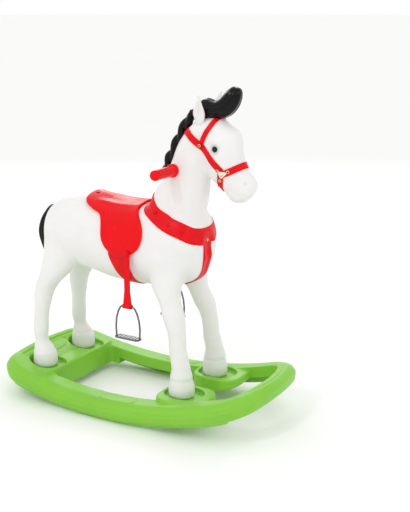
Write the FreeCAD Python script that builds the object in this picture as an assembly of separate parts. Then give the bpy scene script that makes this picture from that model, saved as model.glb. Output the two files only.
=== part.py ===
"""Moulded plastic rocking horse on a one-piece rocker base, with saddle, harness and stirrups.

Units are millimetres. +X points to the horse's head, +Y to its left side and +Z up.
The origin is on the floor, below the middle of the rocker base's plan.
"""
import FreeCAD, Part
import math
import os

V = FreeCAD.Vector

# ---------------------------------------------------------------- rocker base
base_rear = 342.0            # plan reach behind the lowest point of the rocker
base_front = 421.0           # plan reach in front of it
base_half_width = 192.0
plan_widest = -30.0          # where the bowed sides are widest
plan_rear_corner = -362.0    # corners of the plan before they are rounded
plan_rear_half = 183.0
plan_front_corner = 352.0
plan_front_half = 176.0
plan_rear_round = 80.0
plan_front_round = 100.0
rocker_radius = 1134.0       # arc that the base rocks on
rail_height = 53.0           # rocker arc to the top of a rail
runner_height = 4.0          # moulded runner strip below the rail
runner_width = 13.0
runner_inset = 12.0
runner_rear = -322.0         # where the runner strips end
runner_front = 318.0
skirt_width = 25.0           # deep outer rim of the base
hollow_rear = -190.0         # the rear of the base is solid below, which balances the neck and head
skirt_depth = 23.0           # how far the rim reaches below the floor of the base
parting_height = 22.0        # parting line of the moulding, above the rocker arc
parting_step = 1.8
rail_round = 26.0            # rounding of the outer top edge
under_round = 17.0           # rounding of the outer bottom edge
rail_width = 65.0            # outer face to the window
window_rear = -219.0         # straight front edge of the rear platform
window_front = 343.0         # inside of the front bar, on the centre line
window_bulge = 34.0          # how far the front bar bows out
window_round_rear = 14.0
window_round_front = 40.0
deck_top = 77.0              # flat top of the platform and of the pads
platform_rear = -345.0
platform_half_width = 150.0
platform_round = 26.0
pad_rear = 98.0
pad_front = 232.0
pad_inner = 28.0             # gap between a pad and the centre line
pad_outer = 152.0
pad_round = 42.0
deck_edge_round = 5.0
socket_depth = 10.0
socket_half_length = 50.0
socket_half_width = 41.0
socket_lead = 9.0            # socket centre ahead of the hoof centre
rib_height = 1.5             # ribs that follow the rear edge
rib_width = 5.0
rib_insets = (30.0, 44.0)
rib_half_span = 105.0

# ---------------------------------------------------------------- horse
hind_x = -282.0              # hoof centres
fore_x = 148.0
hoof_y = 84.0
# trunk sections: x, underside, top, half width
trunk = [
    (-298.0, 380.0, 480.0, 50.0),
    (-279.0, 357.0, 502.0, 72.0),
    (-246.0, 345.0, 522.0, 88.0),
    (-200.0, 343.0, 535.0, 95.0),
    (-150.0, 338.0, 532.0, 96.0),
    (-90.0, 325.0, 524.0, 95.0),
    (-30.0, 321.0, 523.0, 95.0),
    (40.0, 322.0, 533.0, 92.0),
    (100.0, 330.0, 538.0, 88.0),
    (135.0, 341.0, 533.0, 82.0),
    (155.0, 354.0, 522.0, 71.0),
    (166.0, 371.0, 505.0, 55.0),
]
trunk_power = 2.25
trunk_cap_rear = 14.0
trunk_cap_front = 7.0
# neck and head sections: centre x, centre z, half reach, half width, slope of the section line
neck = [
    (50.0, 452.0, 50.0, 54.0, -20.0),
    (88.0, 520.0, 66.0, 60.0, -24.0),
    (110.0, 572.0, 67.0, 54.0, -26.0),
    (124.0, 622.0, 59.0, 46.0, -25.0),
    (139.0, 672.0, 54.0, 42.0, -20.0),
    (158.0, 718.0, 44.0, 38.0, -12.0),
    (170.0, 745.0, 30.0, 28.0, -5.0),
]
head = [
    (172.0, 730.0, 34.0, 32.0, 50.0),
    (199.0, 701.0, 51.0, 38.0, 50.0),
    (218.0, 671.0, 61.0, 41.0, 48.0),
    (231.0, 640.0, 55.0, 36.0, 49.0),
    (245.0, 619.0, 44.0, 30.0, 50.0),
    (258.0, 601.0, 41.0, 28.0, 48.0),
    (271.0, 587.0, 41.0, 29.0, 46.0),
    (281.0, 575.0, 34.0, 26.0, 40.0),
]
head_power = 2.2
neck_cap = 10.0
muzzle_cap = 12.0
# leg sections: height, x from the hoof centre, y, half length, half width
hind_leg = [
    (415.0, 52.0, 44.0, 66.0, 44.0),
    (372.0, 46.0, 50.0, 58.0, 42.0),
    (338.0, 34.0, 58.0, 47.0, 37.0),
    (306.0, 15.0, 67.0, 35.0, 31.0),
    (282.0, 3.0, 73.0, 28.5, 26.0),
    (255.0, -3.0, 77.0, 24.5, 22.0),
    (215.0, -8.0, 81.0, 21.0, 19.0),
    (165.0, -10.0, 83.0, 20.5, 18.5),
    (142.0, -9.0, 84.0, 19.0, 18.5),
    (124.0, -4.0, 84.0, 24.5, 23.0),
]
fore_leg = [
    (430.0, -56.0, 44.0, 56.0, 42.0),
    (380.0, -58.0, 52.0, 52.0, 39.0),
    (347.0, -55.0, 60.0, 43.0, 34.0),
    (312.0, -45.0, 68.0, 31.0, 29.0),
    (286.0, -34.0, 72.0, 28.0, 27.0),
    (262.0, -25.0, 76.0, 27.5, 26.5),
    (238.0, -17.0, 79.0, 24.0, 23.0),
    (200.0, -11.0, 82.0, 22.0, 20.5),
    (160.0, -5.0, 83.0, 22.5, 20.5),
    (138.0, 0.0, 84.0, 26.0, 24.0),
]
# hoof sections: height above the socket floor, shift forward, half length, half width
hoof = [
    (44.0, 0.0, 30.0, 28.0),
    (28.0, 1.0, 33.0, 30.5),
    (12.0, 1.0, 33.5, 31.0),
    (3.0, 0.5, 31.5, 29.0),
    (0.0, 0.0, 28.5, 26.0),
]

# ---------------------------------------------------------------- harness, in side view (x, z)
strap_thick = 2.6
seat_thick = 7.5
saddle_outline = [
    (-172.0, 574.0), (-166.0, 541.0), (-149.0, 525.0), (-131.0, 515.5), (-115.0, 509.0), (-97.0, 502.0),
    (-82.0, 476.0), (-75.0, 446.0), (-66.0, 429.0), (-47.0, 412.0), (-20.0, 403.0), (7.0, 411.0),
    (30.0, 427.0), (41.0, 449.0), (41.0, 473.0), (30.0, 495.0), (14.0, 511.0), (3.0, 527.0),
    (4.0, 574.0), (-60.0, 590.0), (-130.0, 590.0),
]
girth_outline = [
    (-54.0, 440.0), (-56.0, 408.0), (-46.0, 372.0), (-26.0, 300.0),
    (4.0, 300.0), (2.0, 372.0), (0.0, 408.0), (4.0, 440.0),
]
collar_outline = [
    (-8.0, 562.0), (3.0, 538.0), (26.0, 517.0), (54.0, 502.0), (87.0, 485.0), (116.0, 474.0),
    (152.0, 459.0), (176.0, 444.0), (200.0, 438.0), (240.0, 432.0), (240.0, 466.0), (200.0, 472.0),
    (182.0, 478.0), (168.0, 487.0), (145.0, 501.0), (107.0, 514.0), (90.0, 522.0), (69.0, 532.0),
    (56.0, 543.0), (44.0, 554.0), (24.0, 564.0), (8.0, 576.0),
]
chest_strap_half = 15.0
chest_strap_top = 450.0
chest_strap_foot = 118.0      # how far back the strap runs under the chest
bridle_width = 16.0
brow_width = 13.0
crown_line = [(80.0, 738.0), (112.0, 728.0), (137.5, 718.0), (153.0, 705.0), (180.0, 684.0)]
brow_line = [(176.0, 689.0), (190.5, 717.0), (200.5, 733.5), (214.0, 762.0), (222.0, 790.0)]
cheek_line = [(174.0, 691.0), (197.0, 666.0), (232.0, 630.0)]
nose_line = [(228.0, 621.0), (245.0, 628.0), (262.0, 636.5), (276.0, 644.0), (330.0, 664.0)]
chin_line = [(231.0, 628.0), (222.0, 596.0), (208.0, 556.0)]
link_corners = [(219.0, 636.0), (255.0, 632.0), (225.0, 602.0)]
link_thick = 1.4
link_hole = 0.42              # size of the opening in a link, as a share of the link
bridle_rivets = [(175.0, 688.0), (224.0, 632.0), (249.0, 630.5), (227.0, 608.0)]
collar_rivets = [(63.0, 517.0), (108.0, 497.0), (146.0, 480.0)]
breast_rivet_z = 452.0
side_reach = 200.0            # half width of the blocks that cut outlines right across the horse
probe_radius = 0.2            # thin rod that finds where a surface is
rivet_radius = 4.2
rivet_height = 2.0
rivet_root = 3.0              # how far a rivet is first drawn into what it lies on
rivet_dome = 0.9
eye_centre = (216.0, 682.0)
eye_radius = 9.0
eye_depth = 6.0

# ---------------------------------------------------------------- handle, saddle bolts and pivots
handle_x = 106.0
handle_z = 624.0
handle_span = 270.0           # over both grips
handle_tube = 18.0
grip_diameter = 26.0
grip_collar = 33.0
grip_collar_length = 13.0
grip_wall = 8.0               # end of the tube to the end of the grip
grip_start = 36.0             # inside the neck, before the grip is cut to it
grip_root = 44.0              # where the grip collar meets the neck
grip_clear = 0.2              # between a grip and the neck
grip_end_round = 8.0
grip_collar_round = 4.0
saddle_screw_x = -152.0
screw_head = 12.0
screw_head_height = 2.0
screw_sunk = 1.5              # head below the top of the seat
screw_shank = 5.0
screw_length = 24.0

# ---------------------------------------------------------------- stirrups
pivot_x = 6.0
pivot_z = 417.0
leather_y = 105.5             # middle of the hanging strap
leather_width = 17.0
leather_thick = 3.5
leather_loop_width = 25.0
leather_flare = 38.0          # height over which the strap widens to its loop
leather_foot = 6.0            # straight part above the loop
stirrup_eye_z = 283.0
loop_radius = 6.5
pivot_pin = 5.0
pivot_head = 11.0
pivot_head_height = 2.4
pivot_head_round = 1.2
pivot_play = 0.3
pivot_hold = 14.0             # how deep the pivot sits in the horse
stirrup_play = 0.3
tread_pitch = 9.0
tread_round = 9.0
tread_rib = 2.0
tread_rib_count = 7
tread_margin = 4.0            # from the end of a rib to the edge of the tread
bar_overlap = 1.5             # how far the top bar reaches past the loop
stirrup_wire = 5.5
stirrup_width = 72.0
stirrup_height = 82.0
tread_width = 32.0
tread_thick = 5.0
branch_wire = 4.8
# one branch of a stirrup: share of its half width, share of its height; it starts inside the top bar
stirrup_branch = [(0.25, 0.0), (0.42, 0.0), (0.6, -0.05), (0.79, -0.2), (0.94, -0.42), (1.0, -0.68), (0.96, -1.0)]

# ---------------------------------------------------------------- black trim
forelock = [
    (146.0, 762.0, 20.0, 20.0, 75.0),
    (168.0, 769.0, 27.0, 26.0, 85.0),
    (198.0, 769.0, 23.0, 26.0, 100.0),
    (226.0, 780.0, 24.0, 25.0, 125.0),
    (242.0, 800.0, 22.0, 22.0, 150.0),
    (249.0, 815.0, 17.0, 16.0, 165.0),
]
forelock_cap = 10.0
mane_line = [
    (138.0, 764.0), (120.0, 735.0), (104.0, 708.0), (90.0, 681.0), (76.0, 654.0), (62.0, 631.0), (50.0, 614.0)]
mane_lobe = (15.5, 14.0)      # half length and half width of a braid lobe
mane_waist = 0.82             # size of the braid between two lobes
mane_cap_top = 8.0
mane_cap_foot = 12.0
tail = [
    (-290.0, 488.0, 14.0, 13.0, -50.0),
    (-309.0, 470.0, 17.0, 18.0, -35.0),
    (-321.0, 440.0, 20.0, 23.0, -12.0),
    (-324.0, 408.0, 20.0, 24.0, 2.0),
    (-316.0, 374.0, 17.0, 21.0, 15.0),
    (-303.0, 346.0, 12.0, 15.0, 24.0),
]
tail_cap = 3.0
# ear sections: x, z, y, half length, half width
ear_sections = [
    (168.0, 736.0, 26.0, 11.0, 8.0),
    (171.0, 756.0, 33.0, 13.5, 9.0),
    (174.0, 775.0, 41.0, 12.5, 8.0),
    (178.0, 792.0, 49.0, 8.0, 5.0),
    (181.0, 808.0, 55.0, 2.5, 2.0),
]

hoof_floor = deck_top - socket_depth
base_low = -20.0              # blocks that are trimmed to the rocker arc start and end well outside the base
base_high = 220.0
ring_points = 10
cap_angles = (45.0, 75.0)
rocker_x = (base_rear - base_front) / 2.0      # lowest point, so that the plan is centred on the origin
horse_bolt = 8.0              # bolts up through the base into the hooves
horse_bolt_reach = 22.0
washer_diameter = 22.0
washer_thick = 2.0
bolt_head = 13.0
bolt_head_height = 5.5
spot_diameter = 26.0
spot_depth = 5.0


def rocker_z(x):
    """Height of the rocker arc above the floor at a place along the base."""
    return rocker_radius - math.sqrt(rocker_radius ** 2 - (x - rocker_x) ** 2)


def signed_power(t, power):
    return math.copysign(abs(t) ** (2.0 / power), t)


def closed_curve(points):
    """Smooth closed wire through points."""
    curve = Part.BSplineCurve()
    curve.interpolate(Points=points, PeriodicFlag=True)
    return Part.Wire([curve.toShape()])


def ring(centre, along, reach, half_width, power=2.0, turn=0.0):
    """Closed section: reach along one direction in the side view, half width along Y."""
    points = []
    for i in range(ring_points):
        a = 2.0 * math.pi * (i + turn) / ring_points
        u = along * (signed_power(math.cos(a), power) * reach)
        v = V(0, signed_power(math.sin(a), power) * half_width, 0)
        points.append(centre + u + v)
    return closed_curve(points)


def rounded_end(sections, cap, first):
    """Adds sections that close a loft with a round end, each a scaled copy of the last one."""
    centre, along, reach, half_width = sections[0] if first else sections[-1]
    inner = sections[1][0] if first else sections[-2][0]
    way = (centre - inner).normalize()
    added = []
    for angle in cap_angles:
        s = math.cos(math.radians(angle))
        step = way * (cap * math.sin(math.radians(angle)))
        added.append((centre + step, along, reach * s, half_width * s))
    return added[::-1] + sections if first else sections + added


def loft(sections, power=2.0, turn=0.0):
    """Solid through a list of sections: centre, direction, reach and half width."""
    wires = [ring(c, d, r, w, power, turn) for c, d, r, w in sections]
    return Part.makeLoft(wires, True, False)


def trunk_body(grow=0.0):
    """Barrel of the horse, from the rump to the chest."""
    sections = []
    for x, low, high, half_width in trunk:
        centre = V(x, 0, (low + high) / 2.0)
        sections.append((centre, V(0, 0, 1), (high - low) / 2.0 + grow, half_width + grow))
    sections = rounded_end(sections, trunk_cap_rear + grow, True)
    sections = rounded_end(sections, trunk_cap_front + grow, False)
    return loft(sections, trunk_power)


def sloped(rows, grow=0.0):
    """Sections whose in-plane direction leans by a slope in degrees."""
    out = []
    for x, z, reach, half_width, slope in rows:
        a = math.radians(slope)
        out.append((V(x, 0, z), V(math.cos(a), 0, math.sin(a)), reach + grow, half_width + grow))
    return out


def neck_body(grow=0.0):
    return loft(rounded_end(sloped(neck, grow), neck_cap + grow, False), head_power, 1.5)


def head_body(grow=0.0):
    sections = rounded_end(sloped(head, grow), neck_cap + grow, True)
    return loft(rounded_end(sections, muzzle_cap + grow, False), head_power)


def leg_body(rows, x0, side):
    """One leg with its hoof standing on the socket floor."""
    sections = []
    for z, dx, y, reach, half_width in rows:
        sections.append((V(x0 + dx, side * y, z), V(1, 0, 0), reach, half_width))
    for dz, dx, reach, half_width in hoof:
        sections.append((V(x0 + dx, side * hoof_y, hoof_floor + dz), V(1, 0, 0), reach, half_width))
    return loft(sections)


def cylinder(radius, length, start, way):
    return Part.makeCylinder(radius, length, start, way)


def hoof_centres():
    return [(x, side * hoof_y) for x in (hind_x, fore_x) for side in (-1, 1)]


def horse_body():
    """Trunk, neck, head and legs in one moulding, bored for the handle and the hoof bolts."""
    body = trunk_body().fuse([neck_body(), head_body()])
    for side in (-1, 1):
        body = body.fuse(leg_body(hind_leg, hind_x, side))
        body = body.fuse(leg_body(fore_leg, fore_x, side))
    body = body.cut(cylinder(handle_tube / 2.0, handle_span, V(handle_x, -handle_span / 2.0, handle_z), V(0, 1, 0)))
    for x, y in hoof_centres():
        body = body.cut(cylinder(horse_bolt / 2.0, horse_bolt_reach, V(x, y, hoof_floor), V(0, 0, 1)))
    return body


def plan_block(inset, low, high):
    """Upright block over the plan of the base, drawn in by an inset: two bowed sides, two bowed ends."""
    corners = [
        V(plan_rear_corner, -plan_rear_half, 0), V(plan_front_corner, -plan_front_half, 0),
        V(plan_front_corner, plan_front_half, 0), V(plan_rear_corner, plan_rear_half, 0)]
    crowns = [
        V(plan_widest, -base_half_width, 0), V(rocker_x + base_front, 0, 0),
        V(plan_widest, base_half_width, 0), V(rocker_x - base_rear, 0, 0)]
    discs = []
    for i in range(4):
        circle = Part.Arc(corners[i], crowns[i], corners[(i + 1) % 4]).toShape().Curve
        disc = cylinder(circle.Radius - inset, high - low, circle.Center + V(0, 0, low), V(0, 0, 1))
        disc.rotate(circle.Center, V(0, 0, 1), 45.0)
        discs.append(disc)
    block = discs[0]
    for disc in discs[1:]:
        block = block.common(disc)
    for way, radius in ((-1, plan_rear_round), (1, plan_front_round)):
        uprights = [e for e in block.Edges if is_corner(e, way)]
        block = block.makeFillet(radius - inset, uprights)
    return block


def is_corner(edge, way):
    """True for an upright edge at the rear or front corners of the plan."""
    box = edge.BoundBox
    middle = box.Center
    upright = box.XLength < 0.5 and box.YLength < 0.5
    return upright and way * middle.x > plan_front_corner / 2.0 and abs(middle.y) > plan_front_half / 2.0


def span_box(x0, x1, width):
    """Tall box between two places along the base."""
    return Part.makeBox(x1 - x0, width, 2.0 * base_high, V(x0, -width / 2.0, -base_high))


def rocker_slab(low, high):
    """Curved slab between two heights above the rocker arc, across the whole base."""
    reach = base_front + 60.0
    corners = []
    edges = []
    for lift in (low, high):
        radius = rocker_radius - lift
        ends = []
        for side in (-1, 1):
            a = math.asin(side * reach / rocker_radius)
            ends.append(V(rocker_x + radius * math.sin(a), 0, rocker_radius - radius * math.cos(a)))
        middle = V(rocker_x, 0, lift)
        edges.append(Part.Arc(ends[0], middle, ends[1]).toShape())
        corners.append(ends)
    left = Part.LineSegment(corners[0][0], corners[1][0]).toShape()
    right = Part.LineSegment(corners[0][1], corners[1][1]).toShape()
    wire = Part.Wire([edges[0], right, edges[1], left])
    slab = Part.Face(wire).extrude(V(0, 2.4 * base_half_width, 0))
    slab.translate(V(0, -1.2 * base_half_width, 0))
    return slab


def rounded_block(x0, x1, y0, y1, z0, z1, corner, edge=0.0):
    """Upright block with round corners in plan and, if asked, a round top edge."""
    block = Part.makeBox(x1 - x0, y1 - y0, z1 - z0, V(x0, y0, z0))
    uprights = [e for e in block.Edges if abs(e.tangentAt(0).z) > 0.9]
    block = block.makeFillet(corner, uprights)
    if edge > 0.0:
        block = block.makeFillet(edge, top_edges(block, z1))
    return block


def top_edges(shape, height):
    return [e for e in shape.Edges if e.BoundBox.ZMin > height - 0.01 and e.BoundBox.ZMax < height + 0.01]


def window_prism():
    """Opening between the rails, from the platform to the bowed front bar."""
    half = base_half_width - rail_width
    shoulder = window_front - window_bulge
    points = [V(window_rear, -half, 0), V(shoulder, -half, 0), V(shoulder, half, 0), V(window_rear, half, 0)]
    sides = [
        Part.LineSegment(points[0], points[1]).toShape(),
        Part.Arc(points[1], V(window_front, 0, 0), points[2]).toShape(),
        Part.LineSegment(points[2], points[3]).toShape(),
        Part.LineSegment(points[3], points[0]).toShape(),
    ]
    block = Part.Face(Part.Wire(sides)).extrude(V(0, 0, base_high - base_low))
    block.translate(V(0, 0, base_low))
    rear = [e for e in block.Edges if upright_at(e, window_rear)]
    block = block.makeFillet(window_round_rear, rear)
    front = [e for e in block.Edges if upright_at(e, shoulder)]
    return block.makeFillet(window_round_front, front)


def upright_at(edge, x):
    box = edge.BoundBox
    return box.ZLength > 100.0 and abs(box.XMin - x) < 0.01 and abs(box.XMax - x) < 0.01


def socket(x, y):
    """Oval recess that a hoof stands in, with room in front of the toe."""
    wire = ring_flat(V(x + socket_lead, y, hoof_floor), socket_half_length, socket_half_width)
    return Part.Face(wire).extrude(V(0, 0, deck_top))


def ring_flat(centre, half_length, half_width, power=2.4):
    """Closed oval lying flat."""
    points = []
    for i in range(ring_points):
        a = 2.0 * math.pi * i / ring_points
        x = signed_power(math.cos(a), power) * half_length
        y = signed_power(math.sin(a), power) * half_width
        points.append(centre + V(x, y, 0))
    return closed_curve(points)


def rocker_base():
    """One-piece base: curved rails, rear platform, two pads and a deep outer rim."""
    upper = plan_block(0.0, base_low, base_high).common(rocker_slab(parting_height, rail_height))
    rim = [e for e in upper.Edges if lies_at(e, rail_height)]
    upper = upper.makeFillet(rail_round, rim)
    lower = plan_block(parting_step, base_low, base_high).common(rocker_slab(runner_height, parting_height))
    lower = lower.makeFillet(under_round, [e for e in lower.Edges if lies_at(e, runner_height)])
    hollow = plan_block(skirt_width, base_low, base_high).common(rocker_slab(base_low, skirt_depth))
    hollow = hollow.cut(span_box(-base_rear * 2.0, hollow_rear, 2.0 * base_half_width))
    runners = runner_strips()
    deck = rounded_block(
        platform_rear, window_rear, -platform_half_width, platform_half_width,
        0.0, deck_top, platform_round, deck_edge_round)
    base = upper.fuse([lower, runners]).cut(window_prism()).fuse(deck)
    for side in (-1, 1):
        y0, y1 = sorted((side * pad_inner, side * pad_outer))
        base = base.fuse(rounded_block(pad_rear, pad_front, y0, y1, 0.0, deck_top, pad_round, deck_edge_round))
    base = base.fuse(rear_ribs()).cut(hollow).cut(rocker_slab(-deck_top, 0.0))
    for x, y in hoof_centres():
        base = base.cut(socket(x, y))
        base = base.cut(cylinder(horse_bolt / 2.0, base_high, V(x, y, base_low), V(0, 0, 1)))
        base = base.cut(cylinder(spot_diameter / 2.0, spot_seat(x) - base_low, V(x, y, base_low), V(0, 0, 1)))
    return base


def spot_seat(x):
    """Height of the flat seat under the base for a bolt's washer."""
    return rocker_z(x) + skirt_depth + spot_depth


def hoof_washers():
    washers = []
    for x, y in hoof_centres():
        start = V(x, y, spot_seat(x) - washer_thick)
        disc = cylinder(washer_diameter / 2.0, washer_thick, start, V(0, 0, 1))
        washers.append(disc.cut(cylinder(horse_bolt / 2.0, washer_thick, start, V(0, 0, 1))))
    return Part.Compound(washers)


def hoof_bolts():
    bolts = []
    for x, y in hoof_centres():
        under = spot_seat(x) - washer_thick
        corners = []
        for i in range(7):
            a = math.radians(60.0 * i)
            r = bolt_head / math.sqrt(3.0)
            corners.append(V(x + r * math.cos(a), y + r * math.sin(a), under - bolt_head_height))
        hexagon = Part.Face(Part.makePolygon(corners)).extrude(V(0, 0, bolt_head_height))
        length = hoof_floor + horse_bolt_reach - under
        bolts.append(hexagon.fuse(cylinder(horse_bolt / 2.0, length, V(x, y, under), V(0, 0, 1))))
    return Part.Compound(bolts)


def lies_at(edge, lift):
    """True for an edge that follows the rocker arc at a given height above it."""
    p = edge.valueAt((edge.FirstParameter + edge.LastParameter) / 2.0)
    return abs(math.hypot(p.x - rocker_x, p.z - rocker_radius) - (rocker_radius - lift)) < 0.05


def runner_strips():
    """Pair of low strips on the rim that touch the floor."""
    outer = plan_block(runner_inset, base_low, base_high)
    inner = plan_block(runner_inset + runner_width, base_low, base_high)
    length_box = span_box(runner_rear, runner_front, 3.0 * base_half_width)
    return outer.cut(inner).common(rocker_slab(0.0, parting_height)).common(length_box)


def rear_ribs():
    """Low ribs on the rear rail that follow its edge."""
    ribs = []
    for inset in rib_insets:
        outer = plan_block(inset, base_low, base_high)
        inner = plan_block(inset + rib_width, base_low, base_high)
        rear_box = span_box(rocker_x - base_rear, hollow_rear, 2.0 * rib_half_span)
        slab = rocker_slab(rail_height - rib_height, rail_height + rib_height)
        ribs.append(outer.cut(inner).common(slab).common(rear_box))
    return ribs


def side_prism(wire):
    """Solid right across the horse over an outline drawn in side view."""
    face = Part.Face(wire)
    block = face.extrude(V(0, 2.0 * side_reach, 0))
    block.translate(V(0, -side_reach, 0))
    return block


def smooth_outline(points):
    return side_prism(closed_curve([V(x, 0, z) for x, z in points]))


def straight_outline(points):
    corners = [V(x, 0, z) for x, z in points]
    return side_prism(Part.makePolygon(corners + corners[:1]))


def band(line, width):
    """Strap path in side view: a straight run of a given width for each pair of points."""
    runs = []
    for (x0, z0), (x1, z1) in zip(line, line[1:]):
        length = math.hypot(x1 - x0, z1 - z0)
        nx = (z0 - z1) / length * width / 2.0
        nz = (x1 - x0) / length * width / 2.0
        runs.append(straight_outline([
            (x0 + nx, z0 + nz), (x1 + nx, z1 + nz), (x1 - nx, z1 - nz), (x0 - nx, z0 - nz)]))
    for x, z in line[1:-1]:
        runs.append(cylinder(width / 2.0, 2.0 * side_reach, V(x, -side_reach, z), V(0, 1, 0)))
    return runs[0].fuse(runs[1:]) if len(runs) > 1 else runs[0]


def seat_body(grow):
    """Trunk and neck together, thickened for what lies on them."""
    return trunk_body(grow).fuse(neck_body(grow))


def bridle_body(grow):
    return neck_body(grow).fuse(head_body(grow))


def side_face(shape, x, z, side):
    """How far out a shape reaches at a place in side view."""
    probe = cylinder(probe_radius, side_reach, V(x, 0, z), V(0, side, 0))
    return max(side * v.Y for v in shape.common(probe).Vertexes)


def stud(over, x, z, side):
    """Domed rivet head lying on a surface."""
    y = side_face(over, x, z, side)
    body = cylinder(rivet_radius, rivet_height + rivet_root, V(x, side * (y - rivet_root), z), V(0, side, 0))
    rim = [e for e in body.Edges if abs(abs(e.BoundBox.YMin) - (y + rivet_height)) < 0.01]
    body = body.makeFillet(rivet_dome, rim)
    return body.cut(over)


def strap_on(outer, region, *taken):
    """Part of a thickened body inside a region, less what is there already."""
    piece = outer.common(region)
    for other in taken:
        piece = piece.cut(other)
    return piece


def upper_line(x, shape):
    """Height of a shape's top on the centre line."""
    probe = cylinder(probe_radius, 900.0, V(x, 0, 0), V(0, 0, 1))
    return max(v.Z for v in shape.common(probe).Vertexes)


def handle_bar():
    length = handle_span - 2.0 * grip_wall
    return cylinder(handle_tube / 2.0, length, V(handle_x, -length / 2.0, handle_z), V(0, 1, 0))


def grip(side):
    """Moulded grip: a thick collar at the neck, a plain barrel and a round end, bored for the tube."""
    end = handle_span / 2.0
    collar_end = grip_root + grip_collar_length
    start = V(handle_x, side * grip_start, handle_z)
    barrel = cylinder(grip_diameter / 2.0, end - grip_start, start, V(0, side, 0))
    rim = [e for e in barrel.Edges if abs(abs(e.BoundBox.YMin) - end) < 0.01 and abs(e.BoundBox.YLength) < 0.01]
    barrel = barrel.makeFillet(grip_end_round, rim)
    collar = cylinder(grip_collar / 2.0, collar_end - grip_start, start, V(0, side, 0))
    rim = [e for e in collar.Edges if abs(abs(e.BoundBox.YMin) - collar_end) < 0.01 and e.BoundBox.YLength < 0.01]
    collar = collar.makeFillet(grip_collar_round, rim)
    return barrel.fuse(collar).cut(handle_bar()).cut(neck_body(grip_clear))


def stirrup_leather(side):
    """Hanging strap: an eye round the pivot, a straight run and a flared loop round the stirrup bar."""
    half = leather_width / 2.0
    flare = leather_loop_width / 2.0
    y0 = side * leather_y - leather_thick / 2.0
    outline = [
        V(pivot_x - half, y0, pivot_z),
        V(pivot_x - half, y0, stirrup_eye_z + leather_flare),
        V(pivot_x - flare, y0, stirrup_eye_z + leather_foot),
        V(pivot_x - flare, y0, stirrup_eye_z),
        V(pivot_x + flare, y0, stirrup_eye_z),
        V(pivot_x + flare, y0, stirrup_eye_z + leather_foot),
        V(pivot_x + half, y0, stirrup_eye_z + leather_flare),
        V(pivot_x + half, y0, pivot_z),
    ]
    run = Part.Face(Part.makePolygon(outline + outline[:1])).extrude(V(0, leather_thick, 0))
    eye = cylinder(half, leather_thick, V(pivot_x, y0, pivot_z), V(0, 1, 0))
    loop = cylinder(loop_radius, leather_loop_width, V(pivot_x - flare, side * leather_y, stirrup_eye_z), V(1, 0, 0))
    strap = run.fuse([eye, loop])
    pin = cylinder(pivot_pin / 2.0 + pivot_play, side_reach, V(pivot_x, 0, pivot_z), V(0, side, 0))
    bore = stirrup_wire / 2.0 + stirrup_play
    start = V(pivot_x - leather_loop_width, side * leather_y, stirrup_eye_z)
    bar = cylinder(bore, 2.0 * leather_loop_width, start, V(1, 0, 0))
    return strap.cut(pin).cut(bar)


def branch(side, way):
    """One bowed branch of a stirrup, from inside its top bar down into the tread."""
    half = stirrup_width / 2.0
    circles = []
    for i, (x, drop) in enumerate(stirrup_branch):
        before = stirrup_branch[max(i - 1, 0)]
        after = stirrup_branch[min(i + 1, len(stirrup_branch) - 1)]
        run = (after[0] - before[0]) * half
        rise = (after[1] - before[1]) * stirrup_height if drop < 0.0 else 0.0
        centre = V(pivot_x + way * x * half, side * leather_y, stirrup_eye_z + drop * stirrup_height)
        circles.append(Part.Wire([Part.makeCircle(branch_wire / 2.0, centre, V(way * run, 0, rise))]))
    return Part.makeLoft(circles, True, True)


def stirrup(side):
    """Steel stirrup: a bar through the strap's loop, two bowed branches and a flat ribbed tread."""
    y = side * leather_y
    half_bar = leather_loop_width / 2.0 + bar_overlap
    top = stirrup_eye_z - stirrup_height + tread_thick / 2.0
    half = stirrup_width / 2.0
    tread = rounded_block(
        pivot_x - half, pivot_x + half, y - tread_width / 2.0, y + tread_width / 2.0,
        top - tread_thick, top, tread_round)
    length = tread_width - 2.0 * tread_margin
    for i in range(tread_rib_count):
        x = pivot_x + (i - (tread_rib_count - 1) / 2.0) * tread_pitch
        corner = V(x - tread_rib / 2.0, y - length / 2.0, top - tread_rib / 2.0)
        tread = tread.fuse(Part.makeBox(tread_rib, length, tread_rib, corner))
    bar = cylinder(stirrup_wire / 2.0, 2.0 * half_bar, V(pivot_x - half_bar, y, stirrup_eye_z), V(1, 0, 0))
    return bar.fuse([branch(side, -1), branch(side, 1), tread])


def pivot(side, over):
    """Rivet that carries a stirrup strap: a shank in the horse's side and a domed head outside the strap."""
    inner = side_face(over, pivot_x, pivot_z, side) - pivot_hold
    head_y = leather_y + leather_thick / 2.0 + pivot_play
    shank = cylinder(pivot_pin / 2.0, head_y - inner, V(pivot_x, side * inner, pivot_z), V(0, side, 0))
    head = cylinder(pivot_head / 2.0, pivot_head_height, V(pivot_x, side * head_y, pivot_z), V(0, side, 0))
    face_y = head_y + pivot_head_height
    rim = [e for e in head.Edges if abs(abs(e.BoundBox.YMin) - face_y) < 0.01 and e.BoundBox.YLength < 0.01]
    return shank.fuse(head.makeFillet(pivot_head_round, rim))


def trim(rows, cap, *taken):
    """Solid hair or tail moulding, less what it lies on."""
    sections = rounded_end(rounded_end(sloped(rows), cap, True), cap, False)
    piece = loft(sections)
    for other in taken:
        piece = piece.cut(other)
    return piece


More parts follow.
